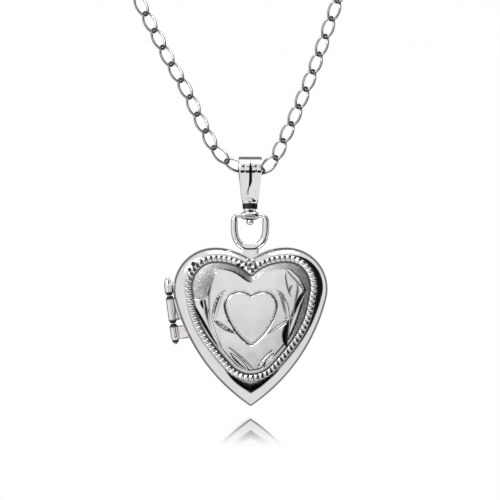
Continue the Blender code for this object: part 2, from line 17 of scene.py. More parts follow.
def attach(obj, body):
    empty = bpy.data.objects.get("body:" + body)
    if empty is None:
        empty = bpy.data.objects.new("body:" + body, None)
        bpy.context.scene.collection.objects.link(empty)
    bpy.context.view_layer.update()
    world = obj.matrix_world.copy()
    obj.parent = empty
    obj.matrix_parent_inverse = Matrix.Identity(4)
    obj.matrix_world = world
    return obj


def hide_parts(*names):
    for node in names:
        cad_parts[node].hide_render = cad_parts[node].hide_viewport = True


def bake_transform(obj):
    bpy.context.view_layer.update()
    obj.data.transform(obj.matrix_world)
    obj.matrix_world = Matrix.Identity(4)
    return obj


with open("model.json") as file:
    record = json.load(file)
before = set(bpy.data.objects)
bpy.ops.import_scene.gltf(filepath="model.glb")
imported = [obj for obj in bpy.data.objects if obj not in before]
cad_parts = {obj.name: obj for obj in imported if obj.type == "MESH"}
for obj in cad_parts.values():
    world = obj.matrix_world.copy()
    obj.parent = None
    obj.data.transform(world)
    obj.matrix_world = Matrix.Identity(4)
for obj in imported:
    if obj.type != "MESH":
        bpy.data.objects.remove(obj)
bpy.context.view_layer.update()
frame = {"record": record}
MM = 0.001

# ---- Heart outline: cleft arc, lobe and side arc of the right half, mirrored ----

LOBE_TOP_Z, LOBE_X = -6.2, 2.85
LOBE_RADIUS, CLEFT_RADIUS, SIDE_RADIUS = 3.3, 4.8, 14.5
SIDE_START = math.radians(-14)
CLEFT_STEPS, LOBE_STEPS, SIDE_STEPS, TIP_STEPS = 110, 220, 290, 100
CLEFT_CENTRE = (LOBE_X, LOBE_TOP_Z - CLEFT_RADIUS)
LOBE_CENTRE = (LOBE_X, LOBE_TOP_Z - LOBE_RADIUS)
SIDE_CENTRE = (
    LOBE_X + (LOBE_RADIUS - SIDE_RADIUS) * math.cos(SIDE_START),
    LOBE_CENTRE[1] + (LOBE_RADIUS - SIDE_RADIUS) * math.sin(SIDE_START),
)
HALF_GAP = 0.03
# Rope border: its distance from the outline at the cleft, the lobe's top, the side and below,
# and the radius it turns with over the tip
ROPE_INSETS = (0.75, 0.86, 1.18, 1.22)
ROPE_TIP_RADIUS = 2.4
ROPE_BULGE = 0.2  # outwards again, a third of the way down each side
ROPE_HALF_WIDTH, ROPE_HEIGHT, ROPE_PITCH = 0.25, 0.12, 0.4
BAND_DEPTH, GROOVE_DEPTH, FIELD_DEPTH = 1.82, 1.78, 2.02


def arc(centre, radii, start, end, steps, bulge=0.0):
    """Points from start to end, both included; the radius goes from radii[0] to radii[1]."""
    turn = np.linspace(start, end, steps + 1)
    way = np.linspace(0, 1, steps + 1)
    ease = way * way * (3 - 2 * way)
    radius = radii[0] + (radii[1] - radii[0]) * ease + bulge * np.sin(math.pi * way ** 0.7) ** 2
    return np.column_stack((centre[0] + radius * np.cos(turn), centre[1] + radius * np.sin(turn)))


def lobe_arcs(at_cleft, at_top, at_side):
    """The cleft and lobe arcs of the right half, with their insets."""
    cleft = math.acos(-LOBE_X / (CLEFT_RADIUS - at_cleft))
    return [
        arc(CLEFT_CENTRE, (CLEFT_RADIUS - at_cleft, CLEFT_RADIUS - at_top), cleft, math.pi / 2,
            CLEFT_STEPS),
        arc(LOBE_CENTRE, (LOBE_RADIUS - at_top, LOBE_RADIUS - at_side), math.pi / 2, SIDE_START,
            LOBE_STEPS),
    ]


def tip_drop(radius):
    """How far below SIDE_CENTRE an arc of that radius meets the middle, and its angle there."""
    drop = math.sqrt(radius ** 2 - SIDE_CENTRE[0] ** 2)
    return drop, math.atan2(-drop, -SIDE_CENTRE[0])


def both_sides(pieces):
    """The right half's arcs joined, and mirrored into a closed loop."""
    right = np.vstack([pieces[0]] + [p[1:] for p in pieces[1:]])
    return np.vstack((right, right[-2:0:-1] * (-1, 1)))


def heart(insets, tip_radius, bulge=0.0):
    """Closed outline (x, z), inset by four amounts on the way round and rounded at the tip."""
    side = SIDE_RADIUS - insets[3]
    drop, turn = tip_drop(side - tip_radius)
    return both_sides(lobe_arcs(*insets[:3]) + [
        arc(SIDE_CENTRE, (SIDE_RADIUS - insets[2], side), SIDE_START, turn, SIDE_STEPS, bulge),
        arc((0.0, SIDE_CENTRE[1] - drop), (tip_radius, tip_radius), turn, -math.pi / 2,
            TIP_STEPS),
    ])


def even_heart(inset):
    """The outline inset evenly, with a sharp tip; its points face those of the rope border."""
    side = SIDE_RADIUS - inset
    _, turn = tip_drop(SIDE_RADIUS - ROPE_INSETS[3] - ROPE_TIP_RADIUS)
    return both_sides(lobe_arcs(inset, inset, inset) + [
        arc(SIDE_CENTRE, (side, side), SIDE_START, turn, SIDE_STEPS),
        arc(SIDE_CENTRE, (side, side), turn, -math.acos(-SIDE_CENTRE[0] / side), TIP_STEPS),
    ])


def at_depth(loop, y):
    """The points (x, z) of a loop, in space at depth y."""
    return np.column_stack((loop[:, 0], np.broadcast_to(y, len(loop)), loop[:, 1]))


def inward(loop):
    """Unit normals of a closed clockwise loop, pointing inside."""
    along = np.roll(loop, -1, 0) - np.roll(loop, 1, 0)
    along /= np.linalg.norm(along, axis=1)[:, None]
    return np.column_stack((along[:, 1], -along[:, 0]))


def smoothstep(low, high, value):
    t = np.clip((value - low) / (high - low), 0, 1)
    return t * t * (3 - 2 * t)


# ---- Mesh helpers ----


def ring_faces(first, second, count):
    """Quads between two closed rings whose points start at the given indices."""
    here = np.arange(count)
    after = (here + 1) % count
    return np.column_stack((first + here, first + after, second + after, second + here)).tolist()


def skin(rings):
    """The points of rings of equally many points, and the quads between them."""
    count = len(rings[0])
    faces = []
    for i in range(len(rings) - 1):
        faces += ring_faces(i * count, (i + 1) * count, count)
    return np.vstack(rings), faces


def linked(name, data):
    """A new object in the scene with that mesh, light or camera."""
    made = bpy.data.objects.new(name, data)
    bpy.context.scene.collection.objects.link(made)
    return made


def from_bmesh(name, bm):
    mesh = bpy.data.meshes.new(name)
    bm.to_mesh(mesh)
    bm.free()
    return linked(name, mesh)


def piece(name, points, faces, crease=40):
    """An object from points in millimetres."""
    mesh = bpy.data.meshes.new(name)
    mesh.from_pydata((np.asarray(points) * MM).tolist(), [], faces)
    made = linked(name, mesh)
    finish_mesh(made, crease)
    return made


def finish_mesh(obj, crease=40):
    bm = bmesh.new()
    bm.from_mesh(obj.data)
    bmesh.ops.recalc_face_normals(bm, faces=bm.faces)
    bm.to_mesh(obj.data)
    bm.free()
    obj.data.shade_smooth()
    obj.data.set_sharp_from_angle(angle=math.radians(crease))


def apply_modifiers(obj):
    graph = bpy.context.evaluated_depsgraph_get()
    mesh = bpy.data.meshes.new_from_object(obj.evaluated_get(graph))
    obj.modifiers.clear()
    obj.data = mesh


def cut(obj, tool, operation="DIFFERENCE", solver="EXACT"):
    modifier = obj.modifiers.new("cut", "BOOLEAN")
    modifier.object = tool
    modifier.operation = operation
    modifier.solver = solver
    apply_modifiers(obj)
    bpy.data.objects.remove(tool)


def lofted(name, rings, matrix=Matrix(), crease=40, caps=True):
    """A closed body through rings given in the frame of matrix: with flat caps, or joined up."""
    points, faces = skin(rings)
    count = len(rings[0])
    last = len(points) - count
    if caps:
        faces += [list(range(count)), list(range(last, len(points)))]
    else:
        faces += ring_faces(last, 0, count)
    made = piece(name, points, faces, crease)
    made.data.transform(matrix)
    return made


def turned(name, profile, matrix, segments=64, crease=40):
    """A body turned round Z from (radius, z) points; the ends get flat caps."""
    turn = np.linspace(0, 2 * math.pi, segments, endpoint=False)
    rings = [
        np.column_stack((max(r, 1e-4) * np.cos(turn), max(r, 1e-4) * np.sin(turn),
                         np.full(segments, z)))
        for r, z in profile
    ]
    return lofted(name, rings, matrix, crease)


def rounded(points, radius, steps=5):
    """An open profile with its inner corners rounded."""
    points = [np.array(p, float) for p in points]
    out = [points[0]]
    for before, corner, after in zip(points, points[1:], points[2:]):
        to_before, to_after = before - corner, after - corner
        reach = min(radius, np.linalg.norm(to_before) / 2.1, np.linalg.norm(to_after) / 2.1)
        start = corner + to_before / np.linalg.norm(to_before) * reach
        end = corner + to_after / np.linalg.norm(to_after) * reach
        for t in np.linspace(0, 1, steps):
            out.append((1 - t) ** 2 * start + 2 * t * (1 - t) * corner + t * t * end)
    out.append(points[-1])
    return [tuple(p) for p in out]


def tube(name, path, radius, closed, segments, up=(0, 1, 0)):
    """A wire along a path; radius may be a list."""
    path = np.asarray(path, float)
    count = len(path)
    radius = np.full(count, radius) if np.isscalar(radius) else np.asarray(radius)
    if closed:
        along = np.roll(path, -1, 0) - np.roll(path, 1, 0)
    else:
        along = np.gradient(path, axis=0)
    along /= np.linalg.norm(along, axis=1)[:, None]
    lift = np.tile(np.asarray(up, float), (count, 1))
    lift -= along * np.sum(lift * along, 1)[:, None]
    lift /= np.linalg.norm(lift, axis=1)[:, None]
    side = np.cross(along, lift)
    turn = np.linspace(0, 2 * math.pi, segments, endpoint=False)
    rings = [
        path[i] + radius[i] * (np.outer(np.cos(turn), side[i]) + np.outer(np.sin(turn), lift[i]))
        for i in range(count)
    ]
    return lofted(name, rings, crease=60, caps=not closed)


# ---- Engraving on the front, as strokes (x, z) with a half width and a depth ----


def bezier(points, steps=24):
    curve = interpolate_bezier(*[Vector((*p, 0)) for p in points], steps)
    return np.array([p[:2] for p in curve])


def mirrored(points):
    return [(-x, z) for x, z in points]


CARTOUCHE_SCALE, CARTOUCHE_TOP_Z, CARTOUCHE_LINE = 0.335, -9.72, 0.11
CRESCENT = [(-1.95, -9.55), (-2.75, -9.85), (-3.15, -11.0), (-3.02, -11.95)]
CRESCENT_INNER = [(-2.1, -9.62), (-2.45, -10.2), (-2.6, -11.1), (-2.9, -11.95)]
LOWER_LEAF = [(-3.0, -11.95), (-2.6, -12.4), (-1.9, -12.85), (-1.28, -13.05)]
LOWER_LEAF_INNER = [(-2.9, -11.95), (-2.5, -12.15), (-1.9, -12.6), (-1.28, -13.0)]
PANEL_EDGE = [(-2.68, -7.85), (-3.1, -8.8), (-3.45, -9.7), (-3.3, -11.4)]
# (points, half width, depth, darkness): a V-shaped cut that tapers at both ends; its darkness is
# partly patina in the cut and partly painted dark reflection
STROKES = [
    (CRESCENT, 0.05, 0.05, 0.55),
    (CRESCENT_INNER, 0.045, 0.035, 0.35),
    (LOWER_LEAF, 0.06, 0.05, 0.5),
    (LOWER_LEAF_INNER, 0.04, 0.03, 0.35),
    (mirrored(CRESCENT), 0.045, 0.04, 0.3),
    (mirrored(CRESCENT_INNER), 0.045, 0.035, 0.3),
    (mirrored(LOWER_LEAF), 0.05, 0.04, 0.35),
    (mirrored(LOWER_LEAF_INNER), 0.04, 0.03, 0.25),
    (PANEL_EDGE, 0.07, 0.05, 0.35),
    ([(-4.98, -10.32), (-4.6, -10.26), (-4.1, -10.28), (-3.55, -10.22)], 0.05, 0.04, 0.5),
    ([(-4.54, -10.69), (-4.13, -11.54), (-3.48, -12.79), (-2.6, -14.1)], 0.15, 0.1, 1.0),
    ([(-3.86, -10.3), (-4.0, -10.45), (-3.9, -10.8), (-3.78, -11.05)], 0.13, 0.08, 1.0),
    ([(-3.26, -9.4), (-3.34, -9.6), (-3.4, -9.9), (-3.42, -10.12)], 0.08, 0.06, 0.95),
    ([(4.36, -9.66), (3.95, -9.98), (3.6, -10.7), (3.42, -11.5)], 0.19, 0.08, 1.0),
    ([(2.97, -12.05), (2.8, -12.6), (2.52, -13.5), (2.88, -14.15)], 0.27, 0.1, 1.0),
    ([(2.68, -11.8), (2.75, -11.85), (2.8, -11.85), (2.86, -11.78)], 0.07, 0.05, 0.8),
    ([(3.05, -11.66), (3.12, -11.7), (3.2, -11.72), (3.26, -11.66)], 0.08, 0.05, 0.8),
    ([(-1.85, -14.1), (-1.2, -14.5), (-0.4, -15.25), (0.18, -15.9)], 0.055, 0.05, 0.5),
    ([(1.68, -14.35), (1.1, -14.85), (0.62, -15.35), (0.52, -15.95)], 0.055, 0.05, 0.6),
    ([(2.66, -7.7), (3.1, -8.5), (3.9, -9.0), (4.2, -9.6)], 0.06, 0.05, 0.3),
    ([(2.75, -8.0), (2.72, -8.8), (2.95, -9.6), (3.2, -10.2)], 0.07, 0.045, 0.4),
    ([(3.25, -9.2), (3.12, -9.45), (3.05, -9.7), (3.08, -9.95)], 0.12, 0.05, 0.45),
    ([(4.2, -11.0), (4.15, -12.0), (3.7, -13.1), (3.15, -13.9)], 0.06, 0.05, 0.45),
]
# Bright-cut leaves: wide shallow facets that stay polished
LEAVES = [
    ([(-1.72, -14.55), (-1.3, -14.95), (-0.75, -15.5), (-0.15, -15.98)], 0.2, 0.06),
    ([(1.82, -14.6), (1.5, -15.0), (1.15, -15.4), (0.85, -15.95)], 0.15, 0.06),
    ([(-2.3, -9.75), (-2.62, -10.3), (-2.8, -11.2), (-2.95, -11.8)], 0.2, 0.05),
    ([(2.3, -9.75), (2.62, -10.3), (2.8, -11.2), (2.95, -11.8)], 0.2, 0.05),
    ([(-2.85, -12.05), (-2.5, -12.3), (-1.9, -12.75), (-1.35, -13.0)], 0.1, 0.04),
    ([(-3.35, -10.9), (-3.4, -12.0), (-3.0, -13.2), (-2.3, -14.2)], 0.16, 0.045),
]


def nearest(points, path):
    """Distance from each point to the path, and where along it, from 0 to 1."""
    best = np.full(len(points), 1e9)
    along = np.zeros(len(points))
    for i in range(len(path) - 1):
        start, way = path[i], path[i + 1] - path[i]
        t = np.clip(((points - start) @ way) / max(way @ way, 1e-12), 0, 1)
        far = np.linalg.norm(points - start - t[:, None] * way, axis=1)
        closer = far < best
        best[closer] = far[closer]
        along[closer] = (i + t[closer]) / (len(path) - 1)
    return best, along


def cartouche():
    """The plain heart in the middle of the field, as a closed path."""
    loop = heart((0.0, 0.0, 0.0, 0.0), 1.0)[::12]
    loop = (loop - (0, LOBE_TOP_Z)) * CARTOUCHE_SCALE + (0, CARTOUCHE_TOP_Z)
    return np.vstack((loop, loop[:1]))


def engraving(points):
    """Depth cut away at points (x, z) of the field, and darkness there: partly patina in the cuts,
    partly painted dark reflection.
    """
    far, _ = nearest(points, cartouche())
    close = np.clip(1 - far / CARTOUCHE_LINE, 0, 1)
    cut_away = 0.07 * np.sqrt(close)
    dark = 0.75 * smoothstep(0.1, 0.7, close)
    for stroke, width, depth, darkness in STROKES:
        far, along = nearest(points, bezier(stroke))
        taper = np.clip(np.sin(math.pi * np.clip(along, 0.03, 0.97)) ** 0.7, 0.15, 1)
        close = np.clip(1 - far / (width * taper), 0, 1)
        cut_away = np.maximum(cut_away, depth * close * taper)
        dark = np.maximum(dark, darkness * smoothstep(0.02, 0.32, close))
    for stroke, width, depth in LEAVES:
        far, along = nearest(points, bezier(stroke))
        taper = np.clip(np.sin(math.pi * along) ** 0.8, 0.02, 1)
        cut_away = np.maximum(cut_away, depth * np.clip(1 - far / (width * taper), 0, 1) * taper)
    return cut_away, dark


def panels(points, edge):
    """Stippled panels: the upper left one, and a strip beside the rope on the right and below; a
    stippled strip under the top of the rope also stands in for painted shade.
    """
    x, z = points[:, 0], points[:, 1]
    left = smoothstep(0, 0.12, -3.0 + (z + 8.6) * 0.28 - x) * smoothstep(-10.3, -10.15, z)
    right = smoothstep(0, 0.15, x - np.interp(z, (-15.0, -13.6, -11.5, -9.6, -8.6, -7.6),
                                             (2.2, 3.0, 3.75, 4.3, 3.75, 2.7)))
    low = smoothstep(0.34, 0.2, edge) * smoothstep(-13.2, -13.8, z)
    # Under the top of the rope: stippled, and its grey in the material is painted shade below the
    # cleft
    top = smoothstep(0.62, 0.36, edge) * smoothstep(-9.2, -8.8, z) * (np.abs(x) < 3.4)
    return np.clip(left + right + 0.8 * low + 0.8 * top, 0, 1) * smoothstep(0.02, 0.1, edge)


# ---- Front and back covers ----


WALL_END = 0.9  # where the side wall rounds over into the face
SHOULDER = 2.2  # how square that rounding is; 2 is a circle
# The hollow side of both halves, (inset, depth) from the middle out to the meeting edge
MEETING_EDGE = ((0.3, 0.85), (0.3, 0.05), (0.27, HALF_GAP), (0.03, HALF_GAP), (0.0, 0.06))
FRONT_HOLLOW = ((1.6, 1.5), (1.1, 1.47), (0.75, 1.4), (0.5, 1.25), (0.36, 1.05), *MEETING_EDGE)
BACK_HOLLOW = ((1.6, 1.7), (1.1, 1.66), (0.75, 1.52), (0.5, 1.35), (0.36, 1.1), *MEETING_EDGE)
WALL_DEPTHS = (0.3, 0.6, 0.85)
FACE_INSET, FACE_DEPTH, FACE_CROWN = 1.85, 2.03, 0.018  # the back cover's flat face


def shoulder(t):
    """Rise of the rounding, 0 to 1, as t goes from the wall (0) to the face (1)."""
    return (1 - (1 - t) ** SHOULDER) ** (1 / SHOULDER)


def band_depth(v, near_tip):
    """Depth of the polished band from the outline (0) to the rope (1), flatter at the tip."""
    reach = 0.6 + 0.4 * near_tip
    return WALL_END + (BAND_DEPTH - WALL_END) / shoulder(reach) * shoulder(reach * v)


def triangle_net(pitch, loop, margin):
    """Even points (x, z) inside a loop, no nearer to it than margin."""
    rows = np.arange(-17.4, -7.0, pitch * 0.866)
    net = np.array([(x + (i % 2) * pitch / 2, z) for i, z in enumerate(rows)
                    for x in np.arange(-5.4, 5.4, pitch)])
    edge, _ = nearest(net, loop[::6])
    return net[inside_loop(net, loop) & (edge > margin)]


def filled(loop, net=()):
    """Points and triangles inside a loop, and each point's place on the loop, or None."""
    count = len(loop)
    tied = [(i, (i + 1) % count) for i in range(count)]
    flat, _, triangles, origin, _, _ = delaunay_2d_cdt(
        [Vector(p) for p in (*loop, *net)], tied, [list(range(count))], 1, 1e-6)
    on_loop = [next((s for s in sources if s < count), None) for sources in origin]
    return np.array([tuple(p) for p in flat]), triangles, on_loop


def sew(points, faces, base, patch, depth=()):
    """Adds a filled patch, its loop being already among the points from base on."""
    flat, triangles, on_loop = patch
    index, extra = [], []
    for i, source in enumerate(on_loop):
        if source is None:
            index.append(len(points) + len(extra))
            extra.append((flat[i, 0], depth[i], flat[i, 1]))
        else:
            index.append(base + source)
    faces += [[index[i] for i in triangle] for triangle in triangles]
    return np.vstack((points, extra)) if extra else points


def front_cover():
    outline = even_heart(0.0)
    centre = heart(ROPE_INSETS, ROPE_TIP_RADIUS, ROPE_BULGE)
    inner = inward(centre)
    rope_out = centre - inner * ROPE_HALF_WIDTH
    rope_in = centre + inner * ROPE_HALF_WIDTH
    rings = [at_depth(even_heart(inset), -depth) for inset, depth in FRONT_HOLLOW]
    rings += [at_depth(outline, -depth) for depth in WALL_DEPTHS]
    near_tip = 1 - smoothstep(-16.9, -15.7, rope_out[:, 1])
    for v in np.linspace(0, 1, 25) ** 1.6:
        rings.append(at_depth(outline + (rope_out - outline) * v, -band_depth(v, near_tip)))
    phase = rope_phase(centre)
    for t in np.linspace(-0.92, 1, 13):
        round_top = math.sqrt(max(1 - t * t, 0))
        twist = 0.5 + 0.5 * np.cos(phase + 1.1 * t)
        base = BAND_DEPTH + (GROOVE_DEPTH - BAND_DEPTH) * (t + 1) / 2
        lift = ROPE_HEIGHT * round_top * (0.25 + 0.75 * twist ** 0.6)
        rings.append(at_depth(centre + inner * ROPE_HALF_WIDTH * t, -(base + lift)))
    points, faces = skin(rings)

    # The field inside the rope, on a fine triangular net
    pitch = 0.045
    patch = filled(rope_in, triangle_net(pitch, rope_in, pitch * 0.6))
    flat = patch[0]
    edge, _ = nearest(flat, np.vstack((rope_in[::4], rope_in[:1])))
    reach = 0.4 + 0.75 * smoothstep(-14.2, -11.5, flat[:, 1])
    dome = 1 - (1 - np.clip(edge / reach, 0, 1)) ** 2
    swell = 0.002 * (flat[:, 0] ** 2 + (flat[:, 1] + 11) ** 2)
    depth = GROOVE_DEPTH + (FIELD_DEPTH - GROOVE_DEPTH) * dome - swell * dome
    cut_away, _ = engraving(flat)
    grain = np.random.RandomState(7).uniform(-1, 1, len(flat))
    ticks = np.sin(flat[:, 0] * 31) * np.sin(flat[:, 1] * 29)
    depth = depth - cut_away - panels(flat, edge) * (0.02 + 0.008 * grain + 0.012 * ticks)
    points = sew(points, faces, len(points) - len(outline), patch, -depth)
    points = sew(points, faces, 0, filled(even_heart(FRONT_HOLLOW[0][0])))
    return piece("front_cover_engraved", points, faces, 30)


def rope_phase(centre):
    """The twist's angle at each point of the rope, which has a whole number of beads."""
    steps = np.linalg.norm(np.roll(centre, -1, 0) - centre, axis=1)
    walked, whole = np.concatenate(([0], np.cumsum(steps)[:-1])), steps.sum()
    return 2 * math.pi * round(whole / ROPE_PITCH) * walked / whole


def inside_loop(points, loop):
    """True for points inside a closed loop."""
    hit = np.zeros(len(points), bool)
    x, z = points[:, 0], points[:, 1]
    for a, b in zip(loop, np.roll(loop, -1, 0)):
        if a[1] == b[1]:
            continue
        between = (a[1] > z) != (b[1] > z)
        hit ^= between & (x < (b[0] - a[0]) * (z - a[1]) / (b[1] - a[1]) + a[0])
    return hit


def back_cover():
    rings = [at_depth(even_heart(inset), depth) for inset, depth in BACK_HOLLOW]
    rings += [at_depth(even_heart(0.0), depth) for depth in WALL_DEPTHS]
    for v in np.linspace(0, 1, 31) ** 1.6:
        rings.append(at_depth(even_heart(FACE_INSET * v),
                              WALL_END + (FACE_DEPTH - WALL_END) * shoulder(v)))
    points, faces = skin(rings)
    face = len(points) - len(rings[0])
    floor_inset, floor_depth = BACK_HOLLOW[0]
    for inset, base, height in ((FACE_INSET, face, FACE_DEPTH), (floor_inset, 0, floor_depth)):
        loop = even_heart(inset)
        patch = filled(loop, triangle_net(0.3, loop, 0.12))
        far = np.array([np.min(np.linalg.norm(loop[::12] - p, axis=1)) for p in patch[0]])
        points = sew(points, faces, base, patch, height + FACE_CROWN * np.minimum(far, 1))
    return piece("back_cover_plain", points, faces, 30)


HINGE_POINT = Vector((-6.38, 0.0, -10.44))
HINGE_LEAN = math.radians(7.5)
# Along the axis, up from HINGE_POINT: the ends, and the joints between the knuckles
UPPER_END, UPPER_JOINT, LOWER_JOINT, LOWER_END = 1.68, 0.38, -1.86, -3.39


def hinge_matrix(along=0.0):
    """Metres: a frame on the hinge axis, Z up along it and Y to the back."""
    return Matrix.Translation(HINGE_POINT * MM) @ Matrix.Rotation(-HINGE_LEAN, 4, "Y") @ (
        Matrix.Translation((0, 0, along * MM))
    )


def cut_hinge_and_nick(cover):
    """The channel beside the hinge barrel and the thumb-nail nick."""
    low, high = LOWER_END - 0.5, UPPER_END + 0.5
    channel = turned("channel", ((0, low), (0.39, low), (0.39, high), (0, high)),
                     hinge_matrix())
    cut(cover, channel, solver="MANIFOLD")
    reach, turn = SIDE_RADIUS + 0.34, math.radians(-46)
    ball = turned("nick", [(0.5 * math.sin(a), -0.5 * math.cos(a))
                           for a in np.linspace(0, math.pi, 17)],
                  shift(SIDE_CENTRE[0] + reach * math.cos(turn), 0,
                        SIDE_CENTRE[1] + reach * math.sin(turn)), 32)
    cut(cover, ball, solver="MANIFOLD")
    finish_mesh(cover, 30)


BEAD_PLACE, BEAD_RADIUS, BEAD_WIRE = (0.0, -1.8, -7.58), 0.26, 0.12


def add_bead(cover):
    """The ring-shaped bead that closes the rope border at the cleft."""
    bead = ring("bead", np.array(BEAD_PLACE), BEAD_RADIUS, BEAD_WIRE, np.array((1.0, 0, 0)),
                np.array((0, 0, 1.0)))
    cut(cover, bead, "UNION", "MANIFOLD")
    finish_mesh(cover, 30)


# ---- Frames, windows and catch inside the covers ----


def section_ring(name, section, stride=4):
    """A ring that follows the outline, with a section given as (inset, y) points."""
    section = rounded(list(section) + [section[0], section[1]], 0.03, 4)[1:-1]
    loops = [at_depth(even_heart(inset)[::stride], y) for inset, y in section]
    return lofted(name, loops, caps=False, crease=50)


def plate(name, inset, near, far):
    """A clear plate with softly rounded edges."""
    edge = (far - near) * 0.3
    profile = ((0.03, near), (0.0, near + edge), (0.0, far - edge), (0.03, far))
    loops = [at_depth(even_heart(inset + more)[::4], y) for more, y in profile]
    return lofted(name, loops, crease=50)


def slab(name, size, matrix, soft):
    """A box with bevelled edges, in the frame of matrix."""
    bm = bmesh.new()
    bmesh.ops.create_cube(bm, size=1.0, matrix=Matrix.Diagonal((*[s * MM for s in size], 1.0)))
    if soft:
        bmesh.ops.bevel(bm, geom=bm.edges, offset=soft * MM, segments=3, affect="EDGES",
                        profile=0.5)
    bm.transform(matrix)
    made = from_bmesh(name, bm)
    finish_mesh(made)
    return made


def shift(x, y, z):
    return Matrix.Translation((x * MM, y * MM, z * MM))


# Sections as (inset, y) of the rings inside the covers
SECTIONS = {
    "back_rim": ((0.34, -0.4), (0.34, 0.45), (1.15, 0.45), (1.15, 0.25), (0.54, 0.25),
                 (0.54, -0.4)),
    "front_rim": ((0.38, -1.0), (0.38, -0.81), (1.15, -0.81), (1.15, -1.0)),
    "back_photo_frame": ((0.58, -0.12), (0.58, 0.10), (1.35, 0.10), (1.35, -0.02),
                         (1.2, -0.12)),
    "front_photo_frame": ((0.40, -0.66), (0.40, -0.44), (1.2, -0.44), (1.35, -0.54),
                          (1.35, -0.66)),
}
CATCH = ((0.36, 0.21), (0.52, 0.21), (0.52, -0.38), (0.39, -0.38), (0.36, -0.33),
         (0.33, -0.26), (0.36, -0.19))
CATCH_X, CATCH_Z = 6.15, -10.4  # opposite the hinge


def insides():
    made = {node: section_ring(node + "_fine", points) for node, points in SECTIONS.items()}
    cut(made["back_rim"], slab("gap", (2, 2, 1.56), shift(CATCH_X, -0.75, CATCH_Z), 0))
    made["back_window"] = plate("back_window_fine", 0.58, 0.13, 0.22)
    made["front_window"] = plate("front_window_fine", 0.40, -0.78, -0.69)
    tongue = section_ring("catch_tongue_fine", CATCH, 2)
    cut(tongue, slab("length", (2, 2, 1.4), shift(CATCH_X, 0, CATCH_Z), 0), "INTERSECT")
    made["catch_tongue"] = tongue
    return made


# ---- Hinge ----


def heart_block():
    """A solid heart a clearance larger than the covers, to trim what is soldered to them."""
    loop = even_heart(-0.03)[::4]
    return lofted("block", [at_depth(loop, -3.0), at_depth(loop, 3.0)])


def dense(profile, step=0.06):
    """The profile with more points on its long straight parts, to hold painted edges."""
    out = [profile[0]]
    for before, after in zip(profile, profile[1:]):
        count = max(1, math.ceil(math.dist(before, after) / step))
        out += [tuple(np.array(before) + (np.array(after) - before) * i / count)
                for i in range(1, count + 1)]
    return out


BARREL_RADIUS, KNUCKLE_GAP = 0.34, 0.04
# Ends of a knuckle as (radius, depth): a neck at a joint, a taper at the hinge's own ends
NECK = ((0.25, 0), (0.25, 0.14), (BARREL_RADIUS, 0.155))
TAPER = ((0.22, 0), (BARREL_RADIUS, 0.42))


def knuckle(name, top, bottom, side, top_end=False, bottom_end=False):
    """A barrel with its leaf, bored for the pin; side is 1 for the back half, -1 the front."""
    high = TAPER if top_end else NECK
    low = reversed(TAPER if bottom_end else NECK)
    profile = [(0.0, top)] + [(r, top - d) for r, d in high] + [(r, bottom + d) for r, d in low]
    barrel = turned(name, dense(rounded(profile + [(0.0, bottom)], 0.05)), hinge_matrix(), 56, 50)
    length = top - bottom - 0.42
    place = hinge_matrix((top + bottom) / 2) @ shift(0.85, side * 0.165, 0)
    leaf = slab("leaf", (1.6, 0.27, length), place, 0.04)
    cut(leaf, heart_block())
    cut(barrel, leaf, "UNION")
    bore = turned("bore", ((0, -4.5), (0.15, -4.5), (0.15, 3.6), (0, 3.6)), hinge_matrix(), 32)
    cut(barrel, bore)
    finish_mesh(barrel, 40)
    return barrel


def hinge():
    made = {
        "hinge_knuckle_upper": knuckle("hinge_upper_fine", UPPER_END,
                                       UPPER_JOINT + KNUCKLE_GAP, 1, top_end=True),
        "hinge_knuckle_middle": knuckle("hinge_middle_fine", UPPER_JOINT - KNUCKLE_GAP,
                                        LOWER_JOINT + KNUCKLE_GAP, -1),
        "hinge_knuckle_lower": knuckle("hinge_lower_fine", LOWER_JOINT - KNUCKLE_GAP,
                                       LOWER_END, 1, bottom_end=True),
    }
    top, bottom = UPPER_END + 0.04, LOWER_END - 0.04
    half = [(0.0, 0.1), (0.1, 0.095), (0.16, 0.06), (0.18, 0.03), (0.18, 0.0), (0.12, 0.0)]
    profile = [(r, top + h) for r, h in half] + [(r, bottom - h) for r, h in reversed(half)]
    made["hinge_pin"] = turned("hinge_pin_fine", profile, hinge_matrix(), 40)
    return made


# ---- Hanging loop and bail ----

BAR_Z = -3.66
BAIL_FOOT_Z, BAIL_TOP_HALF, BAIL_FOOT_HALF = -2.42, 0.915, 0.68


def hanging_loop():
    corner = arc((0.87, BAR_Z - 0.39), (0.39, 0.39), math.pi / 2, 0, 16)
    side = bezier([(1.26, BAR_Z - 0.39), (1.3, -5.1), (1.25, -5.9), (0.3, -6.25)], 34)
    half = np.vstack(([[0.3, BAR_Z], [0.6, BAR_Z]], corner, side[1:]))
    walked = np.concatenate(([0], np.cumsum(np.linalg.norm(np.diff(half, axis=0), axis=1))))
    thick = 0.17 + 0.11 * smoothstep(0.6, 1.35, walked)
    whole = np.vstack((half, [[0.0, -6.25]], half[::-1] * (-1, 1), [[0.0, BAR_Z]]))
    radius = np.concatenate((thick, [0.28], thick[::-1], [0.17]))
    path = np.column_stack((whole[:, 0], np.zeros(len(whole)), whole[:, 1]))
    loop = tube("hanging_loop_fine", path, radius, True, 32)
    tab = slab("tab", (1.36, 0.52, 1.5), shift(0, 0, -6.62), 0.1)
    cut(loop, tab, "UNION")
    soften(loop, 0.03, 9)
    cut(loop, heart_block(), solver="MANIFOLD")
    finish_mesh(loop, 50)
    return loop


def soften(obj, voxel, rounds):
    """Joins a body into one even skin and rounds its inner corners, as solder does."""
    remesh = obj.modifiers.new("skin", "REMESH")
    remesh.mode = "VOXEL"
    remesh.voxel_size = voxel * MM
    smooth = obj.modifiers.new("soften", "SMOOTH")
    smooth.factor = 0.5
    smooth.iterations = rounds
    apply_modifiers(obj)


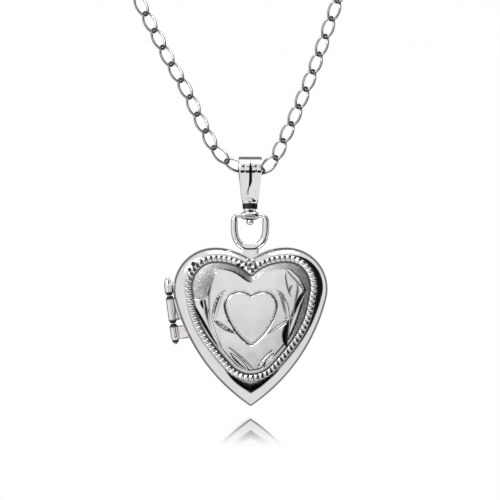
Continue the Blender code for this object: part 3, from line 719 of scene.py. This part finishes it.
def teardrop(radius, foot, foot_z, steps=72):
    """A closed outline (y, z): a circle on the origin that narrows to 2 x foot at foot_z."""
    lean = math.atan2(radius - foot, -foot_z)
    over = arc((0, 0), (radius, radius), -lean, math.pi + lean, steps)
    down, back = [start + np.outer(np.linspace(0, 1, 40), end - start) for start, end in (
        (over[-1], np.array((-foot, foot_z))), (np.array((foot, foot_z)), over[0]))]
    return np.vstack((over, down[1:], back[:-1]))


def slit(z):
    """The open seam down the bail's front: its place across and its half width."""
    place = -0.2 * smoothstep(-0.9, -1.8, z)
    width = 0.035 + 0.06 * smoothstep(0.45, 0.1, z) * smoothstep(-1.45, -1.0, z)
    return place, width * (z < 0.78) * (z > -1.8)


def bail():
    outer = teardrop(1.04, 0.36, BAIL_FOOT_Z)
    inner = teardrop(0.79, 0.1, -1.95)
    across = np.linspace(-1, 1, 121)
    normals = -inward(outer)  # the teardrop runs the other way round
    rings = []
    for (y, z), (yi, zi), normal in zip(outer, inner, normals):
        half = BAIL_TOP_HALF + (BAIL_FOOT_HALF - BAIL_TOP_HALF) * min(max(z / BAIL_FOOT_Z, 0), 1)
        fluted = smoothstep(1.0, -0.5, z) * smoothstep(-2.3, -1.4, z)
        flutes = np.exp(-((np.abs(across) - 0.53) / 0.09) ** 2)
        sunk = 0.025 * flutes * fluted + 0.04 * smoothstep(0.9, 1.0, np.abs(across))
        if y < 0:
            place, width = slit(z)
            sunk = sunk + 0.09 * smoothstep(1.3, 0.8, np.abs(across * half - place)
                                            / max(width, 1e-3)) * (width > 0)
        outside = np.column_stack((across * half, y + normal[0] * sunk, z + normal[1] * sunk))
        back = np.linspace(1, -1, 9)
        inside = np.column_stack((back * half, np.full(9, yi), np.full(9, zi)))
        rings.append(np.vstack((outside, inside)))
    body = lofted("bail_fine", rings, caps=False, crease=60)
    flatten = Matrix.Diagonal((1, 0.66, 1, 1))
    collar = rounded(((0, -2.2), (0.6, -2.24), (0.65, -2.36), (0.65, -2.56), (0.6, -2.68),
                      (0.6, -2.74), (0.6, -3.06), (0.61, -3.1), (0.5, -3.16), (0.42, -3.5),
                      (0, -3.55)), 0.03, 4)
    cut(body, turned("collar", collar, flatten, 72), "UNION", "MANIFOLD")
    over = shift(0, 0, BAR_Z) @ Matrix.Rotation(math.pi / 2, 4, "Y")
    sweep = np.linspace(-1, 1, 41)
    spindle = [(0.36 * (1 - abs(s) ** 2.6) ** 0.5, 0.81 * s) for s in sweep]
    cut(body, turned("barrel", spindle, over, 64), "UNION", "MANIFOLD")
    knob = rounded(((0, -3.95), (0.22, -3.97), (0.3, -4.12), (0.3, -4.26), (0.2, -4.38),
                    (0, -4.42)), 0.06, 5)
    cut(body, turned("knob", knob, Matrix(), 48), "UNION", "MANIFOLD")
    cut(body, turned("bore", ((0, -1.3), (0.2, -1.3), (0.2, 1.3), (0, 1.3)), over, 40),
        solver="MANIFOLD")
    finish_mesh(body, 45)
    return body


# ---- Chain and its fittings ----

PITCH, LINK_WIRE, LINK_HALF_WIDTH = 1.5, 0.1, 0.425
LINK_HALF_LENGTH = PITCH / 2 + LINK_WIRE + 0.025
LINK_TWIST, LINK_SQUARENESS = math.radians(45), 0.88
CENTRE_START, CENTRE_RISE = np.array((-0.48, 0.0, 0.08)), math.radians(-7.5)
LEFT_RISES = (23, 46, 64, 63, 67, 62, 59, 63, 63, 63, 63, 63)
RIGHT_RISES = (45, 67, 64, 67, 68, 68, 70, 71, 71, 71, 72)
END_RING_RADIUS = 1.32
CLASP_RADIUS, TAG_RADIUS, TAG_WIRE = 2.0, 0.42, 0.16
SPRING_FREE, SPRING_FIXED, SPRING_TURNS = 203, 300, 6  # its ends are angles round the clasp
BACK = np.array((0.0, 1.0, 0.0))


def link(name, start, end):
    """A curb link: an oval of round wire, twisted a quarter turn from end to end."""
    along = (end - start) / np.linalg.norm(end - start)
    across = np.cross(BACK, along)
    turn = np.linspace(0, 2 * math.pi, 64, endpoint=False)
    squarer = [np.sign(v) * np.abs(v) ** LINK_SQUARENESS for v in (np.cos(turn), np.sin(turn))]
    x, width = LINK_HALF_LENGTH * squarer[0], LINK_HALF_WIDTH * squarer[1]
    twist = LINK_TWIST * x / LINK_HALF_LENGTH
    spread = np.outer(np.cos(twist), across) + np.outer(np.sin(twist), BACK)
    path = (start + end) / 2 + np.outer(x, along) + spread * width[:, None]
    made = tube(name, path, LINK_WIRE, True, 18)
    paint_link(made, start, end)
    return made


def ring(name, centre, radius, wire, first, second):
    turn = np.linspace(0, 2 * math.pi, 72, endpoint=False)
    path = centre + radius * (np.outer(np.cos(turn), first) + np.outer(np.sin(turn), second))
    return tube(name, path, wire, True, 24, up=np.cross(first, second))


def chain():
    made = {}
    way = np.array((math.cos(CENTRE_RISE), 0, math.sin(CENTRE_RISE)))
    right = CENTRE_START + way * PITCH
    made["chain_link_centre"] = link("link_centre", CENTRE_START, right)
    ends = {}
    for side, start, rises, word in ((-1, CENTRE_START, LEFT_RISES, "left"),
                                     (1, right, RIGHT_RISES, "right")):
        for number, rise in enumerate(rises, 1):
            angle = math.radians(rise)
            way = np.array((side * math.cos(angle), 0, math.sin(angle)))
            name, after = f"link_{word}_{number:02}", start + way * PITCH
            made["chain_" + name] = link(name, start, after)
            start = after
        ends[word] = (start, way)
    jump, wire, slack, end_wire = 0.75, 0.14, 0.04, 0.2
    for word, (end, way) in ends.items():
        centre = end + way * (jump - wire - slack / 2)
        made[f"jump_ring_{word}"] = ring(f"jump_{word}", centre, jump, wire, way, BACK)
        ends[word] = (centre, way)
    centre, way = ends["right"]
    reach = jump - wire - slack - end_wire + END_RING_RADIUS
    made["clasp_end_ring"] = ring("end_ring", centre + way * reach, END_RING_RADIUS, end_wire,
                                  way, np.cross(BACK, way))
    centre, way = ends["left"]
    tag = centre + way * (jump - wire - slack - TAG_WIRE + TAG_RADIUS)
    made.update(clasp(tag, way))
    return made


def clasp(tag, way):
    """A spring-ring clasp: a hollow ring with its mouth closed by a sprung bolt."""
    centre = tag + way * (TAG_RADIUS + 0.05 + 0.5 + CLASP_RADIUS)
    side = np.cross(BACK, -way)

    def at(turn, out=0.0, lift=0.0):
        turn = np.radians(turn)
        round_way = np.outer(np.cos(turn), -way) + np.outer(np.sin(turn), side)
        return centre + round_way * (CLASP_RADIUS + np.reshape(out, (-1, 1))) + (
            np.outer(lift, BACK))

    def bent(name, spans, radii, caps=True):
        """A round bar along the clasp's circle, its radius given at each angle in spans."""
        turn = np.linspace(0, 2 * math.pi, 28, endpoint=False)
        rings = [at(np.full(len(turn), angle), radius * np.cos(turn), radius * np.sin(turn))
                 for angle, radius in zip(spans, radii)]
        return lofted(name, rings, caps=caps, crease=50)

    outer = np.linspace(160, 478, 110)
    body = bent("clasp_body_fine", np.concatenate((outer, outer[::-1])),
                [0.46] * len(outer) + [0.37] * len(outer), caps=False)
    tag_ring = ring("tag", tag, TAG_RADIUS, TAG_WIRE, way, np.cross(way, BACK))
    cut(body, tag_ring, "UNION")
    corners = np.array(((0, -0.15), (1.0, -0.15), (1.0, 0.15), (0, 0.15)))
    slot = lofted("slot", [at(np.full(4, angle), corners[:, 0], corners[:, 1])
                           for angle in np.linspace(165, 222, 24)])
    cut(body, slot)
    finish_mesh(body, 45)
    ends = np.array((0.16, 0.24, 0.28, 0.3))
    spans = np.concatenate(((113, 113.8, 115, 117), np.linspace(119, 197, 40),
                            (198, 199, 199.6, 200)))
    bolt = bent("clasp_trigger_fine", spans, np.concatenate((ends, np.full(40, 0.3), ends[::-1])))
    turn = math.radians(170)
    x_way = Vector(-way) * math.cos(turn) + Vector(side) * math.sin(turn)
    basis = Matrix((x_way, Vector(BACK).cross(x_way), Vector(BACK))).transposed().to_4x4()
    place = Matrix.Translation(Vector(centre) * MM) @ basis @ shift(2.525, 0, 0)
    cut(bolt, slab("lever", (0.75, 0.2, 0.2), place, 0.04), "UNION")
    finish_mesh(bolt, 45)
    coil = np.linspace(0, 2 * math.pi * SPRING_TURNS, 20 * SPRING_TURNS + 1)
    path = at(np.linspace(SPRING_FREE, SPRING_FIXED, len(coil)), 0.24 * np.cos(coil),
              0.24 * np.sin(coil))
    spring = tube("clasp_spring_fine", path, 0.04, False, 10, up=(0.3, 1, 0.2))
    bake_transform(spring)
    return {"clasp_body": body, "clasp_trigger": bolt, "clasp_spring": spring}


# ---- Materials ----

# Near black, for patina in hollows and for painted shade and painted dark reflections
PATINA_AND_SHADE_BLACK = (0.012, 0.012, 0.013, 1.0)


def connect(node, inputs):
    """Sets each of a node's inputs to a value or to another node's output."""
    for socket, value in inputs.items():
        if isinstance(value, bpy.types.NodeSocket):
            node.id_data.links.new(value, node.inputs[socket])
        else:
            node.inputs[socket].default_value = value


def adder(tree):
    """A function that adds a node to the tree and gives one of its outputs."""
    def add(kind, inputs, output, **settings):
        node = tree.nodes.new("ShaderNode" + kind)
        for name, value in settings.items():
            setattr(node, name, value)
        connect(node, inputs)
        return node.outputs[output]

    return add


def fit(add, value, low, high, to_low, to_high, way="LINEAR"):
    """The value with low to high spread over to_low to to_high."""
    return add("MapRange", {"Value": value, "From Min": low, "From Max": high,
                            "To Min": to_low, "To Max": to_high}, "Result",
               interpolation_type=way)


def new_material(name):
    made = bpy.data.materials.new(name)
    made.use_nodes = True
    return made, made.node_tree.nodes["Principled BSDF"], adder(made.node_tree)


def silver(name, base, roughness, occlusion_shade, reach, grain=0.25):
    """Polished silver: fine wiping scratches, soft smears, painted shade in its crevices from
    ambient occlusion, and patina and painted shade where the mesh's attribute says.
    """
    made, shader, add = new_material(name)
    place = add("TexCoord", {}, "Object")

    def noise(scale, detail, source=place):
        return add("TexNoise", {"Vector": source, "Scale": scale, "Detail": detail}, "Fac")

    def calc(kind, first, second):
        return add("Math", {0: first, 1: second}, "Value", operation=kind, use_clamp=True)

    def mix(factor, first, second):
        return add("Mix", {"Factor": factor, "A": first, "B": second}, "Result",
                   data_type="RGBA")

    def dimmed(share):
        return tuple(c * share for c in base[:3]) + (1.0,)

    patina_and_painted_shade, matte_and_painted_shade = [add("Attribute", {}, "Fac", attribute_name=label)
                     for label in ("patina_and_painted_shade", "matte_and_painted_shade")]
    # Painted shade: crevices found by ambient occlusion are darkened
    corners = add("AmbientOcclusion", {"Distance": reach * MM}, "AO", samples=8)
    painted_crevice_shade = fit(add, corners, 0.25, 0.95, occlusion_shade, 0.0)
    smear = noise(700.0, 3.0)
    tone = mix(fit(add, smear, 0.35, 0.65, 0.0, 1.0), base, dimmed(0.94))
    speckle = fit(add, noise(9000.0, 2.0), 0.4, 0.62, 0.35, 1.0)
    # Stippled parts darker; under the top of the rope this darkening is painted shade
    tone = mix(calc("MULTIPLY", matte_and_painted_shade, speckle), tone, dimmed(0.5))
    # Near black where the painted attribute or the crevice occlusion says: patina, painted shade
    # and painted dark reflection
    tone = mix(calc("MAXIMUM", patina_and_painted_shade, painted_crevice_shade), tone, PATINA_AND_SHADE_BLACK)
    rough = calc("ADD", fit(add, smear, 0.3, 0.7, roughness * 0.8, roughness * 1.3),
                 fit(add, matte_and_painted_shade, 0.0, 1.0, 0.0, 0.28))
    rough = calc("ADD", rough, fit(add, patina_and_painted_shade, 0.0, 1.0, 0.0, 0.3))
    wiped = add("Mapping", {"Vector": place, "Scale": (1.0, 1.0, 0.06),
                            "Rotation": (0.3, 0.5, 0.7)}, "Vector")
    scratches = calc("MULTIPLY", noise(5200.0, 4.0, wiped), 0.12)
    stipple = calc("MULTIPLY", matte_and_painted_shade, noise(11000.0, 1.0))
    bump = add("Bump", {"Strength": grain, "Distance": 0.02 * MM,
                        "Height": calc("ADD", scratches, stipple)}, "Normal")
    connect(shader, {"Metallic": 1.0, "Base Color": tone, "Roughness": rough, "Normal": bump})
    return made


def acetate():
    """Clear sheet with a faint haze."""
    made, shader, add = new_material("clear_acetate")
    haze = add("TexNoise", {"Vector": add("TexCoord", {}, "Object"), "Scale": 600.0}, "Fac")
    tint = add("ValToRGB", {"Fac": haze}, "Color")
    low, high = tint.node.color_ramp.elements
    low.color, high.color = (0.93, 0.95, 0.96, 1), (0.98, 0.99, 0.99, 1)
    connect(shader, {"Transmission Weight": 1.0, "IOR": 1.48, "Base Color": tint,
                     "Roughness": fit(add, haze, 0.0, 1.0, 0.02, 0.12)})
    return made


def set_attribute(obj, name, values):
    made = obj.data.attributes.new(name, "FLOAT", "POINT")
    made.data.foreach_set("value", np.asarray(values, np.float32))


def vertices(obj):
    co = np.zeros(len(obj.data.vertices) * 3)
    obj.data.vertices.foreach_get("co", co)
    return co.reshape(-1, 3) / MM


# Painted dark reflections, as round spots (x, z, radius)
DARK_REFLECTION_SPOTS = ((-4.6, -7.48, 0.27), (-4.9, -7.92, 0.2), (-1.02, -7.56, 0.2), (-0.7, -7.78, 0.17))


def paint_front(cover):
    """Darker between the rope's beads; in the strokes partly patina, partly painted dark
    reflection; painted shade along the rope's edges and round the bead; painted dark reflections as
    spots.
    """
    co = vertices(cover)
    flat = co[:, [0, 2]]
    centre = heart(ROPE_INSETS, ROPE_TIP_RADIUS, ROPE_BULGE)
    closed = np.vstack((centre[::3], centre[:1]))
    outside = co[:, 1] < -1.55  # the face, without the side wall
    patina_and_painted_shade, matte_and_painted_shade = np.zeros(len(co)), np.zeros(len(co))
    chosen = np.nonzero(outside)[0]
    near, _ = nearest(flat[chosen], closed)
    within = inside_loop(flat[chosen], centre)
    signed = np.where(within, near, -near)
    # Painted shade along the rope's inner and outer edges
    rope_edge_shade = np.maximum(smoothstep(0.12, 0.04, np.abs(signed - ROPE_HALF_WIDTH - 0.04)) * 0.8,
                           smoothstep(0.08, 0.03, np.abs(signed + ROPE_HALF_WIDTH)) * 0.45)
    patina_and_painted_shade[chosen] = rope_edge_shade
    in_field = signed > ROPE_HALF_WIDTH
    field = chosen[in_field]
    _, dark = engraving(flat[field])
    patina_and_painted_shade[field] = np.maximum(patina_and_painted_shade[field], dark)
    matte_and_painted_shade[field] = panels(flat[field], signed[in_field] - ROPE_HALF_WIDTH)
    phase = rope_phase(centre)
    for index in chosen[np.abs(signed) < ROPE_HALF_WIDTH]:
        closest = np.argmin(np.linalg.norm(centre - flat[index], axis=1))
        patina_and_painted_shade[index] = max(patina_and_painted_shade[index], 0.75 * max(0.0, -math.cos(phase[closest])) ** 1.5)
    # Painted shade round the bead's rim and in its middle
    from_bead = np.linalg.norm(flat - np.array((BEAD_PLACE[0], BEAD_PLACE[2])), axis=1)
    rim = smoothstep(0.1, 0.03, np.abs(from_bead - BEAD_RADIUS - BEAD_WIRE))
    patina_and_painted_shade = np.maximum(patina_and_painted_shade, 0.85 * outside * np.maximum(rim, smoothstep(0.16, 0.1, from_bead)))
    # Painted dark reflections, as round spots
    for x, z, radius in DARK_REFLECTION_SPOTS:
        far = np.linalg.norm(flat - np.array((x, z)), axis=1)
        patina_and_painted_shade = np.maximum(patina_and_painted_shade, (co[:, 1] < -WALL_END) * smoothstep(radius, 0.6 * radius, far))
    set_attribute(cover, "patina_and_painted_shade", patina_and_painted_shade)
    set_attribute(cover, "matte_and_painted_shade", matte_and_painted_shade)


def paint_bail(body):
    """Painted shade in the seam and at its lower end, and on the barrel; a painted shadow in a line
    under it; round the collar a black band of patina and painted dark reflection.
    """
    x, y, z = vertices(body).T
    place, width = slit(z)
    # Painted shade in the open seam and at its lower end
    seam = (y < 0) * (width > 0) * smoothstep(1.3, 0.9, np.abs(x - place) / np.maximum(width, 1e-3))
    end = 0.6 * (y < 0) * smoothstep(0.11, 0.06, np.hypot(x + 0.2, z + 1.9))
    # The collar's black band: patina in the neck and painted dark reflection
    band = smoothstep(-2.66, -2.7, z) * smoothstep(-3.14, -3.1, z)
    # Painted shade on the barrel
    barrel = 0.42 * smoothstep(-3.24, -3.34, z) * smoothstep(-3.98, -3.9, z)
    # Painted shadow in a line under the barrel
    under = 0.9 * smoothstep(-3.86, -3.92, z) * smoothstep(-4.06, -4.0, z)
    set_attribute(body, "patina_and_painted_shade", np.max((seam, end, 0.97 * band, barrel, under), axis=0))


def paint_hinge(knuckle):
    """Painted shade, with some patina, on the necks between the knuckles and at the lower end."""
    co = vertices(knuckle)
    axis = np.array((-math.sin(HINGE_LEAN), 0, math.cos(HINGE_LEAN)))
    along = (co - np.array(HINGE_POINT)) @ axis
    dark = np.zeros(len(co))
    for joint in (UPPER_JOINT, LOWER_JOINT):
        dark = np.maximum(dark, smoothstep(0.33, 0.27, np.abs(along - joint)))
    dark = np.maximum(dark, smoothstep(LOWER_END + 0.26, LOWER_END + 0.18, along))
    set_attribute(knuckle, "patina_and_painted_shade", 0.97 * dark)


def paint_link(made, start, end):
    """The whole wire darker and duller, and painted shade darkest where the links bear on each
    other.
    """
    co = vertices(made)
    middle, along = (start + end) / 2, (end - start) / np.linalg.norm(end - start)
    far = np.abs((co - middle) @ along) / LINK_HALF_LENGTH
    set_attribute(made, "patina_and_painted_shade", 0.4 + 0.5 * smoothstep(0.68, 0.9, far))


# ---- Pieces on their bodies ----

front, back = front_cover(), back_cover()
for cover in (front, back):
    cut_hinge_and_nick(cover)
add_bead(front)
paint_front(front)
pieces = {"front_cover": front, "back_cover": back, "hanging_loop": hanging_loop(),
          "bail": bail(), **insides(), **hinge(), **chain()}
paint_bail(pieces["bail"])
for node in ("hinge_knuckle_upper", "hinge_knuckle_middle", "hinge_knuckle_lower"):
    paint_hinge(pieces[node])

BODY_OF = {node: body for body, nodes in frame["record"]["behaviour"]["bodies"].items()
           for node in nodes}
SLOT_OF = {row["node"]: row["material_slot"] for row in frame["record"]["subparts"]}
looks = {
    "engraved_silver": silver("engraved_silver", (0.755, 0.735, 0.745, 1.0), 0.09, 0.5, 0.12),
    "polished_silver": silver("polished_silver", (0.77, 0.755, 0.762, 1.0), 0.1, 0.35, 0.16),
    "inner_silver": silver("satin_silver", (0.78, 0.77, 0.755, 1.0), 0.3, 0.5, 0.2, 0.6),
    "spring_steel": silver("spring_steel", (0.55, 0.56, 0.57, 1.0), 0.24, 0.5, 0.2, 0.5),
    "acetate": acetate(),
}
for node, made in pieces.items():
    made.data.materials.clear()
    made.data.materials.append(looks[SLOT_OF[node]])
    if node != "clasp_spring":  # it spans the ring and the trigger, so it stays on no body
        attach(made, BODY_OF[node])
    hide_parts(node)

# ---- Studio: a white surround with dark flags, a pale floor, a long lens ----

FLOOR_Z = -19.35
MIRROR_FULL, MIRROR_NONE = 10, 34  # how far out the floor's mirror starts and ends to fade


def studio_world():
    """White for the camera. In reflections, dark flags: a crescent on the right, one below in
    front, and a ring around the far side that draws the outlines. The floor's sharp mirror
    sees no flags, so the floor is pale from all sides."""
    world = bpy.data.worlds.new("studio")
    bpy.context.scene.world = world
    world.use_nodes = True
    add = adder(world.node_tree)
    way = add("TexCoord", {}, "Generated")

    def disc(polar, around, inner, outer, inside, outside):
        """A round patch of sky: one value within inner degrees of its middle, another from
        outer degrees on. Its middle is polar degrees from the front, turned around from the
        right."""
        polar, around = math.radians(polar), math.radians(around)
        middle = (math.sin(polar) * math.cos(around), -math.cos(polar),
                  math.sin(polar) * math.sin(around))
        dot = add("VectorMath", {0: way, 1: middle}, "Value", operation="DOT_PRODUCT")
        return fit(add, dot, math.cos(math.radians(outer)), math.cos(math.radians(inner)),
                   outside, inside, "SMOOTHSTEP")

    def flag(polar, around, inner, outer, dark):
        return disc(polar, around, inner, outer, 1.0 - dark, 1.0)

    def opening(polar, around, inner, outer):
        return disc(polar, around, inner, outer, 1.0, 0.0)

    def calc(kind, first, second):
        return add("Math", {0: first, 1: second}, "Value", operation=kind)

    # The crescent; then what the heart's tip mirrors, in three discs; then the far ring
    shade = calc("MAXIMUM", flag(37, 18, 34, 37, 0.99), opening(0, 0, 22, 25))
    for part in (
        calc("MAXIMUM", flag(12.5, -90, 15.5, 17, 0.98), opening(0, 0, 6, 8)),
        flag(20, -122, 9, 10.5, 0.98), flag(20, -58, 9, 10.5, 0.98),
        calc("MAXIMUM", flag(180, 0, 62, 86, 0.8), opening(180, 0, 12, 20)),
    ):
        shade = calc("MULTIPLY", shade, part)
    plain = calc("MAXIMUM", add("LightPath", {}, "Is Camera Ray"),
                 add("LightPath", {}, "Is Singular Ray"))
    level = add("Mix", {"Factor": plain, "A": shade, "B": 1.0}, "Result")
    connect(world.node_tree.nodes["Background"], {"Strength": level,
                                                  "Color": (1.0, 0.995, 0.99, 1.0)})


def pale_floor():
    """A white sheet; it mirrors the locket's tip and the mirror fades outwards."""
    bm = bmesh.new()
    bmesh.ops.create_grid(bm, x_segments=1, y_segments=1, size=3.0)
    floor = from_bmesh("floor", bm)
    floor.location.z = FLOOR_Z * MM
    made, unused, add = new_material("white_floor")
    made.node_tree.nodes.remove(unused)
    white = add("Emission", {"Strength": 1.0}, "Emission")
    mirror = add("BsdfGlossy", {"Color": (1.0, 1.0, 1.0, 1.0), "Roughness": 0.0}, "BSDF")
    far = add("VectorMath", {0: add("TexCoord", {}, "Object")}, "Value", operation="LENGTH")
    share = fit(add, far, MIRROR_FULL * MM, MIRROR_NONE * MM, 0.88, 0.0, "SMOOTHSTEP")
    mixed = add("MixShader", {"Fac": share, 1: white, 2: mirror}, "Shader")
    connect(made.node_tree.nodes["Material Output"], {"Surface": mixed})
    floor.data.materials.append(made)
    floor.visible_glossy = False


def softbox(name, place, size, power):
    light = bpy.data.lights.new(name, "AREA")
    light.shape = "RECTANGLE"
    light.size, light.size_y = size[0] * MM, size[1] * MM
    light.energy = power
    made = linked(name, light)
    made.location = Vector(place) * MM
    made.rotation_euler = (Vector((0, 0, -9)) * MM - made.location).to_track_quat(
        "-Z", "Y").to_euler()


studio_world()
pale_floor()
softbox("key", (-140, -150, 120), (90, 90), 0.25)
softbox("top", (20, -40, 190), (120, 80), 0.2)

camera = bpy.data.cameras.new("camera")
camera.lens = 200
camera.sensor_width = 36
camera.clip_start, camera.clip_end = 0.01, 10
view = linked("camera", camera)
AZIMUTH, ELEVATION, VIEW_WIDTH = math.radians(-3), math.radians(1.0), 40.0
target = Vector((0.0, 0.0, -6.42)) * MM
away = Vector((math.sin(AZIMUTH) * math.cos(ELEVATION), -math.cos(AZIMUTH) * math.cos(ELEVATION),
               math.sin(ELEVATION)))
view.location = target + away * (VIEW_WIDTH * MM * camera.lens / camera.sensor_width)
view.rotation_euler = (-away).to_track_quat("-Z", "Y").to_euler()
bpy.context.scene.camera = view
bpy.context.scene.view_settings.view_transform = "Standard"
